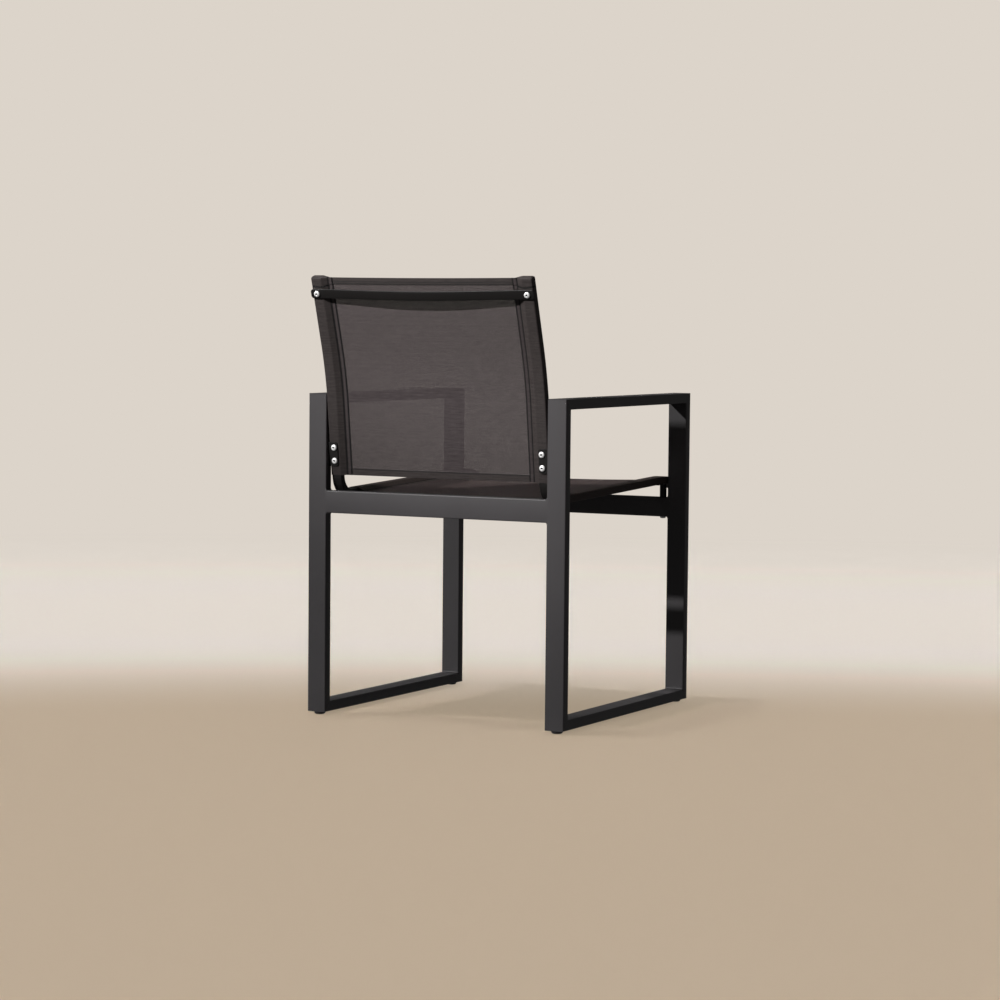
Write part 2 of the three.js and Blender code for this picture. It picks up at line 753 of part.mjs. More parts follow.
// Spacers on the front rail, their upper ends cut to the rail's slope, with a bolt up through the rail, the
// spacer and the sleeve into a nut.
const boltSeat = frontRailTop - frontRailHeight - seatGap;
const boltTilt = Math.tan(boltSlope);
const noseRelief = spacerRadius ** 2 / (2 * noseRadius);
const spacer = ring(holeRadius, spacerRadius, 0, spacerHeight - noseRelief);
const spacerPosition = spacer.attributes.position;
for (let i = 0; i < spacerPosition.count; i += 1) {
  const lift = spacerPosition.getZ(i) > spacerHeight / 2 ? spacerPosition.getY(i) * boltTilt : 0;
  spacerPosition.setZ(i, spacerPosition.getZ(i) - lift);
}
for (const [sideName, side] of sides) {
  const x = side * railCentreX;
  const y = frontRailCentreY;
  const base = new THREE.Matrix4().makeTranslation(x, y, frontRailTop + seatGap);
  const under = new THREE.Matrix4().makeTranslation(x, y, boltSeat).multiply(headDown);
  const inRail = new THREE.Matrix4().makeTranslation(x, y, boltHeight + nutRadius * boltTilt).multiply(headDown);
  addPiece(`${sideName}_seat_spacer`, spacer, railCoat, base);
  addPiece(`${sideName}_seat_bolt`, screw(boltHeight - shankEnd - boltSeat), steel, under);
  addPiece(`${sideName}_seat_nut`, nut, zinc, inRail);
}

// Levelling glides: a round foot on a threaded stem, screwed into an insert in the floor rail.
const glideTop = glideHeight - stemEase;
const glide = turned([
  [0, 0],
  [glideFloorRadius, 0],
  [(glideFloorRadius + glideRadius) / 2, glideRim / 4],
  [glideRadius, glideRim],
  [glideRadius, glideTop - glideCrown],
  [glideRadius - glideCrown, glideTop],
  [stemRadius, glideTop],
  [stemRadius, stemLength - stemTip],
  [stemRadius - stemTip, stemLength],
  [0, stemLength],
]);
const insertBase = glideHeight + legWall + seatGap;
const insert = ring(stemRadius + stemEase, insertRadius, insertBase, insertBase + insertLength);
const corners = [
  ["rear", glideInset],
  ["front", loopDepth - glideInset],
];
for (const [sideName, side] of sides) {
  for (const [endName, y] of corners) {
    const stand = new THREE.Matrix4().makeTranslation(side * loopCentreX, y, 0);
    addPiece(`${sideName}_${endName}_glide`, glide, blackPlastic, stand);
    addPiece(`${sideName}_${endName}_glide_insert`, insert, zinc, stand);
  }
}

// The footprint's middle becomes the origin.
const box = new THREE.Box3().setFromObject(chair, true);
chair.position.y = -(box.min.y + box.max.y) / 2;

export default chair;
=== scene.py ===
"""Sling patio armchair: charcoal aluminium side loops, bent black rails, a see-through woven back and seat."""

import functools
import json
import math

import bpy
import mathutils
import numpy as np
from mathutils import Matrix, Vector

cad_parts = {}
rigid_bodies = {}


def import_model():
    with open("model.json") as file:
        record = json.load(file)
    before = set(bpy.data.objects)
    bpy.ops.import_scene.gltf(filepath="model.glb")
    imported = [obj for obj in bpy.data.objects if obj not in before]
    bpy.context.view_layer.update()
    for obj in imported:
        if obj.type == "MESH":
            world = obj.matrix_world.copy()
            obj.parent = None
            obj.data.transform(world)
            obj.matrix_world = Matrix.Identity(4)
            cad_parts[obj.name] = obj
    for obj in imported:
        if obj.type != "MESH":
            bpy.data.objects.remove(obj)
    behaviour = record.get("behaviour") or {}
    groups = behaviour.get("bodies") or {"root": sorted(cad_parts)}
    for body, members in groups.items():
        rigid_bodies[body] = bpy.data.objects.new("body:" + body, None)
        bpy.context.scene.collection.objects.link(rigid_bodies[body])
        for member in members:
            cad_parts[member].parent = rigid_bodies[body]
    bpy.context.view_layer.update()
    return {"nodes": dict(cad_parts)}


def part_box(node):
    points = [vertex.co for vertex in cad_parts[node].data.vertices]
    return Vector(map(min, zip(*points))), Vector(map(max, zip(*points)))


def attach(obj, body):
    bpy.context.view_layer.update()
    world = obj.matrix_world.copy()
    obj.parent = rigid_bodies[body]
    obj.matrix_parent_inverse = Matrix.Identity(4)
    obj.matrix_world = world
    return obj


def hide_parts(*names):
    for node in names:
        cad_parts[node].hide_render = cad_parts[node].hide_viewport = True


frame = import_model()
mm = 0.001
chair_body = "chair"
sides = {"left": -1, "right": 1}


# Side loops. Each side is four lengths of 40 x 20 mm aluminium tube, mitred at the corners, welded all round,
# ground nearly flush and powder-coated charcoal, so a corner shows only a faint ridge of weld under the coat.
corner_radius = 2 * mm
corner_points = 9
weld_ridge = 0.12 * mm
weld_ridge_width = 1.3 * mm
weld_bead = 2.2 * mm
weld_steps = np.array([0, 0.3, 0.6, 1, 1.5, 2.2, 3, 5]) * mm
coat_dark = (0.0435, 0.0398, 0.0412, 1)
coat_pale = (0.0535, 0.0492, 0.0508, 1)


def rounded_rectangle(width, height, radius, points):
    """Outline of a rectangle with round corners, anticlockwise, and its outward directions: each corner is a quarter
    circle of the radius about a centre that lies one radius in from both edges."""
    angles = np.linspace(0, math.pi / 2, points) + np.arange(4)[:, None] * math.pi / 2
    outward = np.stack([np.cos(angles), np.sin(angles)], -1)
    centre = np.array([[1, 1], [-1, 1], [-1, -1], [1, -1]]) * [width / 2 - radius, height / 2 - radius]
    outline = centre[:, None, :] + radius * outward
    return outline.reshape(-1, 2), outward.reshape(-1, 2)


def skin(name, rings, closed=True, sharp=35):
    """Closed mesh through rings of points, an array of rings by points by three. A quad joins points j and j + 1 of
    one ring to the same two of the next, the last point joins the first, and a flat face closes each end, or the
    last ring joins the first where closed is False. The faces are turned over if the volume that they enclose, a
    third of the sum of place times area, comes out negative."""
    rows, columns = rings.shape[:2]
    here = np.arange(rows * columns).reshape(rows, columns)
    beside = np.roll(here, -1, axis=1)
    quads = np.stack([here, beside, np.roll(beside, -1, axis=0), np.roll(here, -1, axis=0)], -1)
    quads = (quads[:-1] if closed else quads).reshape(-1, 4)
    caps = [here[0][::-1], here[-1]] if closed else []
    points = rings.reshape(-1, 3)
    diagonals = np.cross(points[quads[:, 2]] - points[quads[:, 0]], points[quads[:, 3]] - points[quads[:, 1]])
    middles = points[quads].mean(axis=1) - points.mean(axis=0)
    if np.sum(middles * diagonals) < 0:
        quads = quads[:, ::-1]
        caps = [cap[::-1] for cap in caps]
    mesh = bpy.data.meshes.new(name)
    mesh.from_pydata(points, [], quads.tolist() + [cap.tolist() for cap in caps])
    mesh.shade_smooth()
    mesh.set_sharp_from_angle(angle=math.radians(sharp))
    return mesh


def in_scene(name, data):
    """New object in the scene, with its mesh, light or camera."""
    item = bpy.data.objects.new(name, data)
    bpy.context.scene.collection.objects.link(item)
    return item


def place(mesh, material, slot, body=chair_body, nodes=()):
    """Makes a mesh the piece of its name, with its material, on its body, in place of the nodes it stands for."""
    piece = in_scene(mesh.name, mesh)
    mesh.materials.append(material)
    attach(piece, body)
    if nodes:
        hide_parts(*nodes)
    return piece


def new_group(name, inputs, outputs):
    """Empty shader group, the outputs of its first node and its last node. Its inputs are numbers with their usual
    values, or a vector where the value is None, and its outputs are numbers."""
    group = bpy.data.node_groups.new(name, "ShaderNodeTree")
    for socket, value in inputs.items():
        kind = "NodeSocketVector" if value is None else "NodeSocketFloat"
        item = group.interface.new_socket(socket, in_out="INPUT", socket_type=kind)
        if value is not None:
            item.default_value = value
    for socket in outputs:
        group.interface.new_socket(socket, in_out="OUTPUT", socket_type="NodeSocketFloat")
    return group, group.nodes.new("NodeGroupInput").outputs, group.nodes.new("NodeGroupOutput")


def new_material(name):
    """Material, its node tree and its shader."""
    material = bpy.data.materials.new(name)
    material.use_nodes = True
    return material, material.node_tree, material.node_tree.nodes["Principled BSDF"]


def feed(tree, node, inputs):
    """Feeds a node's inputs, given by name or number, with values or with sockets."""
    for key, value in dict(inputs).items():
        if isinstance(value, bpy.types.NodeSocket):
            tree.links.new(value, node.inputs[key])
        else:
            node.inputs[key].default_value = value
    return node


def new_node(tree, kind, inputs=(), **settings):
    """Shader node of a kind, set up and then fed."""
    node = tree.nodes.new(f"ShaderNode{kind}")
    for name, value in settings.items():
        setattr(node, name, value)
    return feed(tree, node, inputs)


def math_node(tree, operation, *values):
    """Output of a math node fed by numbers or by sockets."""
    return new_node(tree, "Math", enumerate(values), operation=operation).outputs[0]


def mix_node(tree, share, first, second, **settings):
    """Output of a mix of two colours."""
    inputs = {"Factor": share, "A": first, "B": second}
    return new_node(tree, "Mix", inputs, data_type="RGBA", **settings).outputs["Result"]


def powder_grain_group():
    """Powder coat: a fine orange-peel height with a slower unevenness, a roughness from the fine grain, and a slow
    mottle for colour.
    """
    streak_scale, streak_share, roughness_spread = 90, 1.5, 0.06
    sockets = {"Grain": 900.0, "Mottle": 14.0}
    group, source, result = new_group("powder_grain", sockets, ["Height", "Mottle", "Roughness"])
    where = new_node(group, "TexCoord").outputs["Object"]
    grain, mottle, streak = (
        new_node(group, "TexNoise", {"Vector": where, "Scale": scale, "Detail": detail}).outputs["Fac"]
        for scale, detail in ((source["Grain"], 2), (source["Mottle"], 5), (streak_scale, 2))
    )
    height = math_node(group, "ADD", grain, math_node(group, "MULTIPLY", streak, streak_share))
    span = {"Value": grain, "To Min": -roughness_spread, "To Max": roughness_spread}
    rough = new_node(group, "MapRange", span).outputs["Result"]
    feed(group, result, {"Height": height, "Mottle": mottle, "Roughness": rough})
    return group


powder_grain = powder_grain_group()


def powder_coat(name, dark, pale, roughness):
    """Powder coat over metal: the mottle mixes the two colours, and the grain gives the height and roughness."""
    material, tree, shader = new_material(name)
    grain = new_node(tree, "Group", node_tree=powder_grain).outputs
    bump = {"Strength": 0.25, "Distance": 0.05 * mm, "Height": grain["Height"]}
    feed(tree, shader, {
        "Base Color": mix_node(tree, grain["Mottle"], dark, pale),
        "Roughness": math_node(tree, "ADD", grain["Roughness"], roughness),
        "Specular IOR Level": 0.3,
        "Normal": new_node(tree, "Bump", bump).outputs["Normal"],
    })
    return material


charcoal_coat = powder_coat("charcoal_powder_coat", coat_dark, coat_pale, roughness=0.4)


def mitred_tube(corner, along, inward, length, width, thickness):
    """Rings of a tube between two mitres. A point at depth b below the outer face starts b along the tube, so each
    ring is parallel to its mitre. Near the mitres the outline swells by the weld ridge, a bell curve, and the inner
    face by the bead in the corner, a hollow quarter circle of radius r: at s along the tube from the mitre its
    height h solves (s + h - r)^2 + (h - r)^2 = r^2."""
    outline, outward = rounded_rectangle(width, thickness, corner_radius, corner_points)
    swell = weld_ridge * np.exp(-((weld_steps / weld_ridge_width) ** 2))
    grown = np.concatenate([swell, swell[::-1]])
    section = outline + grown[:, None, None] * outward
    reach, short = weld_bead, np.minimum(weld_steps, weld_bead)
    bead = reach - short / 2 - np.sqrt(np.maximum((2 * reach - short) ** 2 / 4 - (short - reach) ** 2 / 2, 0))
    inner = np.concatenate([bead, bead[::-1]])[:, None] * np.maximum(outward[:, 1], 0)
    depth = section[..., 1] + thickness / 2 + inner
    start = np.concatenate([weld_steps, length - weld_steps[::-1]])[:, None]
    run = start + np.where(start < length / 2, depth, -depth)
    return corner + section[..., :1] * [1, 0, 0] + run[..., None] * along + depth[..., None] * inward


up, down = np.array([0, 0, 1.0]), np.array([0, 0, -1.0])
front, rear = np.array([0, 1.0, 0]), np.array([0, -1.0, 0])
for side in sides:
    low, high = (np.array(corner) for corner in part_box(f"{side}_rear_leg"))
    top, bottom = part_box(f"{side}_arm")[1].z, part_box(f"{side}_floor_rail")[0].z
    back, nose = low[1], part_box(f"{side}_front_leg")[1].y
    thickness, width, middle = high[1] - low[1], high[0] - low[0], (low[0] + high[0]) / 2
    loop_height, loop_depth = top - bottom, nose - back
    tubes = {
        "rear_leg": ((middle, back, bottom), up, front, loop_height),
        "arm": ((middle, back, top), front, down, loop_depth),
        "front_leg": ((middle, nose, top), down, rear, loop_height),
        "floor_rail": ((middle, nose, bottom), rear, up, loop_depth),
    }
    for tube, (corner, along, inward, length) in tubes.items():
        rings = mitred_tube(corner, along, inward, length, width, thickness)
        mesh = skin(f"{side}_{tube}_tube", rings)
        place(mesh, charcoal_coat, "frame_coat", nodes=[f"{side}_{tube}"])


# Cross rails, the same coated tube on edge between the loops. Their ends are welded to the legs: the weld is ground
# flush with the leg's outer face, where it fills the leg's rounded edge, and left as a fillet above and below.
weld_fillet = 3.5 * mm
weld_fill = 0.97 * corner_radius
fillet_steps = 8


def cross_rail(height, depth, half_length, centre_y, centre_z):
    """Rings of a rail along X. Over the last fillet length the outline grows up and down by a quarter-circle curve,
    and a last ring runs on into the leg as far as the leg's edge is round."""
    outline, _ = rounded_rectangle(depth, height, corner_radius, corner_points)
    turn = np.linspace(0, math.pi / 2, fillet_steps)
    x = np.append(half_length - weld_fillet * (1 - np.sin(turn)), half_length + weld_fill)
    grow = np.append(weld_fillet * (1 - np.cos(turn)), weld_fillet)
    x = np.concatenate([-x[::-1], x])[:, None]
    grow = np.concatenate([grow[::-1], grow])[:, None]
    ring_z = outline[:, 1] + np.sign(outline[:, 1]) * grow
    return np.stack(np.broadcast_arrays(x, outline[:, 0] + centre_y, ring_z + centre_z), -1)


leg_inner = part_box("right_rear_leg")[0].x
rail_ends_flare = 4.5 * mm
for node in ("rear_cross_rail", "front_cross_rail"):
    low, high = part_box(node)
    height = high.z - low.z - 2 * rail_ends_flare
    rings = cross_rail(height, high.y - low.y, leg_inner, (low.y + high.y) / 2, (low.z + high.z) / 2)
    place(skin(f"{node}_tube", rings), charcoal_coat, "frame_coat", nodes=[node])


# Sling rails. One 22 x 14 mm tube each side, bent in one piece: a drooping nose, a nearly level seat, a tight bend
# and a back that curves further rearwards at the shoulders. Near-black powder coat, bare only at the tight bend.
rail_width = 22 * mm
rail_depth = 14 * mm
rail_corner = 3 * mm
seat_slope, lumbar_lean, top_lean = math.radians(2.1), math.radians(7), math.radians(17)
bolt_slope, nose_slope = math.radians(5), math.radians(32)
nose_radius, crown_radius, bend_radius, shoulder_radius = 70 * mm, 300 * mm, 36 * mm, 700 * mm
lumbar_length, top_length = 143 * mm, 134 * mm
back_setback, back_level = 18 * mm, 516.5 * mm
rail_reach, rail_steps, ring_step = 20 * mm, 8001, 4 * mm
black_dark = (0.0051, 0.0042, 0.0039, 1)
black_pale = (0.0069, 0.0058, 0.0054, 1)
black_coat = powder_coat("black_powder_coat", black_dark, black_pale, roughness=0.45)

rear_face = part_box("right_rear_leg")[0].y
spacer_low, spacer_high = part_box("right_seat_spacer")
rail_x = (spacer_low.x + spacer_high.x) / 2
bolt_y = (spacer_low.y + spacer_high.y) / 2
rail_box_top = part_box("right_sling_rail")[1].z


class RailLine:
    """Line of a sling rail in the YZ plane from the nose to the top of the back. Its pitch, the angle above level on
    the way to the rear, changes evenly with distance in a bend and stays in a straight run, and its place is the
    running sum of the pitch's cosine rearwards and sine upwards. Beyond both ends it goes straight on."""

    def __init__(self, seat_length):
        turns = [bolt_slope - nose_slope, -bolt_slope - seat_slope, 0, math.pi / 2 - lumbar_lean + seat_slope, 0]
        turns += [lumbar_lean - top_lean, 0]
        lengths = [-turns[0] * nose_radius, -turns[1] * crown_radius, seat_length, turns[3] * bend_radius]
        lengths += [lumbar_length, -turns[5] * shoulder_radius, top_length]
        self.marks = np.concatenate([[0], np.cumsum(lengths)])
        self.length = self.marks[-1]
        pitches = nose_slope + np.concatenate([[0], np.cumsum(turns)])
        self.steps = np.linspace(-rail_reach, self.length + rail_reach, rail_steps)
        self.pitch = np.interp(self.steps, self.marks, pitches)
        step = np.diff(self.steps)
        middle = (self.pitch[1:] + self.pitch[:-1]) / 2
        self.y = -np.concatenate([[0], np.cumsum(np.cos(middle) * step)])
        self.z = np.concatenate([[0], np.cumsum(np.sin(middle) * step)])
        self.y += bolt_y - np.interp(self.marks[1], self.steps, self.y)
        self.z += rail_box_top - self.top()

    def top(self):
        """Height of the rail's highest corner, the front one of its square-cut top end."""
        end = np.interp(self.length, self.steps, self.z)
        return end + rail_depth / 2 * math.sin(top_lean)

    def at(self, distance):
        """Y, Z and pitch at distances along the line."""
        return (np.interp(distance, self.steps, values) for values in (self.y, self.z, self.pitch))

    def point(self, x, distance, out):
        """Places at x across the chair, a distance along the line and a height out of its rear or under side."""
        y, z, pitch = self.at(distance)
        return np.stack(np.broadcast_arrays(x, y - out * np.sin(pitch), z - out * np.cos(pitch)), -1)

    def frame(self, distance):
        """Directions along the line and out of its rear side, at one distance."""
        _, _, pitch = self.at(distance)
        return np.array([0, -math.cos(pitch), math.sin(pitch)]), np.array([0, -math.sin(pitch), -math.cos(pitch)])


trial_line = RailLine(0)
foot_y, foot_z, _ = trial_line.at(trial_line.marks[4])
trial_setback = foot_y - rear_face - (back_level - foot_z) * math.tan(lumbar_lean)
seat_length = (trial_setback - back_setback) / math.cos(seat_slope)
rail_line = RailLine(seat_length)
rail_stations = np.concatenate([np.arange(a, b, ring_step) for a, b in zip(rail_line.marks, rail_line.marks[1:])])
for side, sign in sides.items():
    outline, _ = rounded_rectangle(rail_width, rail_depth, rail_corner, corner_points)
    stations = np.append(rail_stations, rail_line.length)[:, None]
    rings = rail_line.point(sign * rail_x + outline[:, 0], stations, outline[:, 1])
    mesh = skin(f"{side}_sling_rail_tube", rings)
    place(mesh, black_coat, "rail_coat", nodes=[f"{side}_sling_rail"])


# End plugs, nuts and inserts are hidden in the tubes and keep their plain solids: black nylon and zinc plate.
def plain_finish(name, colour, roughness, metallic=0.0):
    """Even material of one colour."""
    material, tree, shader = new_material(name)
    feed(tree, shader, {"Base Color": colour, "Roughness": roughness, "Metallic": metallic})
    return material


black_nylon = plain_finish("black_nylon", (0.012, 0.0115, 0.011, 1), 0.5)
zinc_plate = plain_finish("zinc_plate", (0.55, 0.56, 0.58, 1), 0.38, 1.0)
for name, node in frame["nodes"].items():
    finish = black_nylon if name.endswith("_plug") else zinc_plate if name.endswith(("_nut", "_insert")) else None
    if finish:
        node.data.materials.clear()
        node.data.materials.append(finish)


# Slings. Each is one piece of PVC-coated polyester mesh. A sleeve along each side goes round the rail, its free edge
# comes back over the panel as a flap, and two rows of lockstitch close it. The ends of the panel are hemmed.
cloth_thickness = 0.8 * mm
sleeve_ease, sleeve_corner, sleeve_lead = 0.2 * mm, 2.4 * mm, 1 * mm
seam_offset, flap_width, flap_lift, flap_step = 24 * mm, 9 * mm, 0.85 * mm, 2 * mm
hem_width, hem_edge = 14 * mm, 0.5 * mm
cap_length, cap_corner, cap_reach = 4.5 * mm, 5 * mm, 3.4 * mm
cap_before_seam, cap_fade, backed_past_seam = 6 * mm, 20 * mm, 4 * mm
path_step, fold_softness = 0.2 * mm, 0.6 * mm
pucker_height, pucker_spread = 0.22 * mm, 5 * mm
seam_inset, hem_stitch, second_stitch = 1.2 * mm, 11.8 * mm, 7 * mm
arch_stitch, arch_bow, arch_span, arch_inset = 20 * mm, 1.2 * mm, 11 * mm, 6 * mm
crease_width, crease_depth, crease_rise, hem_crease = 1.3 * mm, 0.25 * mm, 1.8, 0.55
thread_colour = (0.007, 0.0065, 0.0062, 1)
# Painted shade: the colour the cloth takes in the crease along each row of stitching.
crease_painted_shade = (0.007, 0.006, 0.006, 1)
# Painted shade: the share of its colour that the cloth keeps where a hem, a flap or the rail lies behind it.
painted_backed_shade = (0.78, 0.80, 0.75, 1)
seam_x = rail_x - seam_offset
flap_x = seam_x - flap_width
hair = 1e-9
cloth_seed = np.random.default_rng(11)
pucker_waves = cloth_seed.uniform(9, 31, 6) * mm
pucker_phases = cloth_seed.uniform(0, 2 * math.pi, 6)


def sleeve_path():
    """Half of the cloth's section, from the middle of the panel out, round the rail and back to the flap's edge, as
    arc length, x and height out of the rear. Straight runs and corner arcs are sampled evenly and then smoothed with
    a bell curve as wide as the fold's softness."""
    depth = rail_depth / 2 + sleeve_ease + cloth_thickness / 2
    corner = sleeve_corner
    outer = rail_x + rail_width / 2 + sleeve_ease + cloth_thickness / 2
    lead = rail_x - rail_width / 2 + sleeve_lead
    turn = np.linspace(-math.pi / 2, 0, corner_points)
    lower = np.stack([outer - corner + corner * np.cos(turn), corner - depth + corner * np.sin(turn)], -1)
    upper = lower[::-1] * [1, -1]
    start = [[0, 0], [seam_x, 0], [lead, -depth]]
    end = [[lead, depth], [seam_x, flap_lift], [flap_x, flap_lift]]
    corners = np.concatenate([start, lower, upper, end])
    run = np.concatenate([[0], np.cumsum(np.linalg.norm(np.diff(corners, axis=0), axis=1))])
    even = np.arange(0, run[-1], path_step)
    line = np.stack([np.interp(even, run, corners[:, axis]) for axis in (0, 1)], -1)
    reach = int(4 * fold_softness / path_step)
    bell = np.exp(-((np.arange(-reach, reach + 1) * path_step / fold_softness) ** 2) / 2)
    ahead = 2 * line[-1] - line[-reach - 1 : -1][::-1]
    behind = 2 * line[0] - line[1 : reach + 1][::-1]
    padded = np.concatenate([behind, line, ahead])
    smooth = np.stack([np.convolve(padded[:, axis], bell / bell.sum(), "valid") for axis in (0, 1)], -1)
    run = np.concatenate([[0], np.cumsum(np.linalg.norm(np.diff(smooth, axis=0), axis=1))])
    return run, smooth[:, 0], smooth[:, 1]


path_run, path_x, path_out = sleeve_path()
path_tangent = np.gradient(np.stack([path_x, path_out]), path_run, axis=1)
path_tangent /= np.linalg.norm(path_tangent, axis=0)
half_width = path_run[-1]


def across_at(x, rear):
    """Arc length at which the section passes a distance x from the middle, on its rear or its front layer."""
    outermost = np.argmax(path_x)
    part = slice(outermost, None) if rear else slice(0, outermost)
    order = np.argsort(path_x[part])
    return np.interp(x, path_x[part][order], path_run[part][order])


def soft_step(value):
    """Zero below 0, one above 1, and 3 t^2 - 2 t^3 between."""
    t = np.clip(value, 0, 1)
    return t * t * (3 - 2 * t)


def arch_row(x):
    """Distance from a sleeve's closed end to the stitching across it: an arch, a quarter cosine each way."""
    return arch_stitch + arch_bow * np.cos((x - rail_x + arch_inset) / arch_span * math.pi / 2)


class Sling:
    """A cloth on the rails as a function of the arc length across it and the distance from its closed end. The
    section of sleeve_path is carried along the rail line, the panel sags by a parabola across and a parabola through
    three depths along, and near the closed end the sleeve's depth follows a quarter ellipse to nothing."""

    def __init__(self, closed_at, open_at, sags, reach):
        self.closed_at, self.length = closed_at, abs(open_at - closed_at)
        self.way = 1 if open_at > closed_at else -1
        self.sags, self.reach = sags, reach
        self.hem_rows = (reach + second_stitch, reach + hem_stitch, self.length - hem_stitch)

    def depth(self, share):
        """Sag at a share of the length: the parabola through the depths at the closed end, middle and open end."""
        first, middle, last = self.sags
        ends = first * (1 - share) * (1 - 2 * share) + last * share * (2 * share - 1)
        return ends + 4 * middle * share * (1 - share)

    def hem(self, along):
        """One inside the two hems, nought between them, over a short step."""
        near = soft_step((self.reach + hem_width - along) / hem_edge)
        far = soft_step((along - self.length + hem_width) / hem_edge)
        return np.maximum(near, far)

    def crease(self, x, along):
        """One on each row of machine stitching and nought away from it: flat-topped bell curves about the rows down
        the flaps and across the sleeves and, weaker, about the rows across the hems between the flaps. It sinks the
        groove, closes the gaps and sets where the material paints the crease's shade."""

        def bell(off_row):
            return np.exp(-((off_row / crease_width) ** 2))

        down = [bell(x - (row + seam_inset)) for row in (seam_x, flap_x)]
        down.append(bell(along - arch_row(x)) * (x > seam_x))
        across = [bell(along - row) * (x < flap_x) for row in self.hem_rows]
        return np.maximum(np.clip(crease_rise * np.max(down, axis=0), 0, 1), hem_crease * np.max(across, axis=0))

    def surface(self, across, along):
        """Places and outward directions on the cloth's middle surface."""
        run, sign = np.abs(across), np.sign(across)
        x, out = np.interp(run, path_run, path_x), np.interp(run, path_run, path_out)
        tangent_x, tangent_out = (np.interp(run, path_run, values) for values in path_tangent)
        flap = soft_step((run - across_at(seam_x + flap_step, True)) / flap_step)
        sleeve = soft_step((x - seam_x + cap_before_seam) / cap_fade)
        from_end = along + self.reach * (1 - sleeve) * (1 - np.clip(along / hem_width, 0, 1))
        closing = np.sqrt(1 - np.clip(1 - along / cap_length, 0, 1) ** 2)
        out = np.where(x > seam_x, np.sign(out) * np.maximum(np.abs(out) * closing, flap_lift / 2), out)
        corner = cap_corner * (1 - np.sqrt(1 - np.clip(1 - along / cap_corner, 0, 1) ** 2))
        outermost = path_x.max()
        x = np.where(x > rail_x, rail_x + (x - rail_x) * (1 - corner / (outermost - rail_x)), x)
        inside = np.clip(1 - (x / seam_x) ** 2, 0, 1)
        out = out + self.depth(along / self.length) * inside + flap * self.hem(along) * cloth_thickness
        waves = np.sin(2 * math.pi * along[..., None] / pucker_waves + pucker_phases + sign[..., None]).sum(-1)
        out = out + pucker_height / 2 * waves * np.exp(-(((x - seam_x) / pucker_spread) ** 2))
        out = out - crease_depth * self.crease(x, along)
        distance = self.closed_at + self.way * from_end
        place = rail_line.point(sign * x, distance, out)
        _, _, pitch = rail_line.at(distance)
        normal = np.stack([sign * tangent_out, tangent_x * np.sin(pitch), tangent_x * np.cos(pitch)], -1)
        return place, normal

    def grid(self):
        """Lines of the cloth's grid as distances across and along, close together at flaps, hems, seams and the
        closed end. The one in the middle lies a hair off it, so that it has a sign."""
        panel_margin, wrap_margin, hem_margin, near_margin = 6 * mm, 8 * mm, 4 * mm, 3 * mm
        fine, coarse, shortest = 0.6 * mm, 1.2 * mm, 0.1 * mm
        panel_columns, panel_rows, near_rows = 26, 90, 6
        panel = across_at(flap_x - panel_margin, False)
        seam_zone = np.arange(panel, across_at(rail_x - wrap_margin, False), fine)[1:]
        sleeve_zone = np.arange(seam_zone[-1], across_at(rail_x - wrap_margin, True), coarse)[1:]
        right = np.concatenate([np.linspace(0, panel, panel_columns)[1:], seam_zone, sleeve_zone])
        right = np.append(right, np.arange(right[-1], half_width, fine)[1:])
        across = np.concatenate([-right[::-1], [hair], right])
        cap = cap_length * np.array([0, 0.03, 0.1, 0.2, 0.35, 0.55, 0.8])
        panel_start, panel_end = self.reach + hem_width, self.length - hem_width
        near = np.linspace(cap_length, panel_start - near_margin, near_rows)
        hem_near = panel_start + hem_edge * np.array([-3, -1, -0.5, 0, 2])
        middle = np.linspace(panel_start + hem_margin, panel_end - hem_margin, panel_rows)
        hem_far = panel_end + hem_edge * np.array([-2, 0, 0.5, 1, 3])
        end = self.length - np.array([9, 5, 2, 0.6, 0]) * mm
        rows = (np.array(self.hem_rows)[:, None] + crease_width * np.array([-1.6, -0.8, 0, 0.8, 1.6])).ravel()
        arch = np.arange(arch_stitch - 2 * crease_width, arch_stitch + arch_bow + 2 * crease_width, fine)
        along = np.unique(np.concatenate([cap, near, hem_near, middle, hem_far, end, rows, arch]))
        return across, along[np.append(True, np.diff(along) > shortest)]

    def mesh(self, name):
        """Both faces of the cloth, half a thickness either way from the middle surface, joined round all four edges.
        In a hem the panel is two layers thick."""
        grid_across, grid_along = np.meshgrid(*self.grid())
        middle, normal = self.surface(grid_across, grid_along)
        x = np.interp(np.abs(grid_across), path_run, path_x)
        front_layer = np.abs(grid_across) < across_at(flap_x, False)
        doubled = self.hem(grid_along) * front_layer
        over = middle + cloth_thickness / 2 * normal
        under = middle - cloth_thickness * (0.5 + doubled)[..., None] * normal
        here = np.arange(x.size).reshape(x.shape)
        top = np.stack([here[:-1, :-1], here[:-1, 1:], here[1:, 1:], here[1:, :-1]], -1).reshape(-1, 4)
        bottom = (top + x.size)[:, ::-1]
        rim = np.concatenate([here[0, :-1], here[:-1, -1], here[-1, :0:-1], here[:0:-1, 0]])
        rim_next = np.roll(rim, -1)
        edge = np.stack([rim_next, rim, rim + x.size, rim_next + x.size], -1)
        faces = np.concatenate([top, bottom, edge])
        if self.way > 0:
            faces = faces[:, ::-1]
        mesh = bpy.data.meshes.new(name)
        mesh.from_pydata(np.concatenate([over.reshape(-1, 3), under.reshape(-1, 3)]), [], faces.tolist())
        mesh.shade_smooth()
        mesh.set_sharp_from_angle(angle=math.radians(50))
        uv = np.stack([grid_across, grid_along], -1).reshape(-1, 2) / mm
        corners = np.empty(len(mesh.loops), np.int32)
        mesh.loops.foreach_get("vertex_index", corners)
        flat = np.concatenate([uv, uv])[corners].astype(np.float32)
        mesh.uv_layers.new(name="cloth").data.foreach_set("uv", flat.ravel())
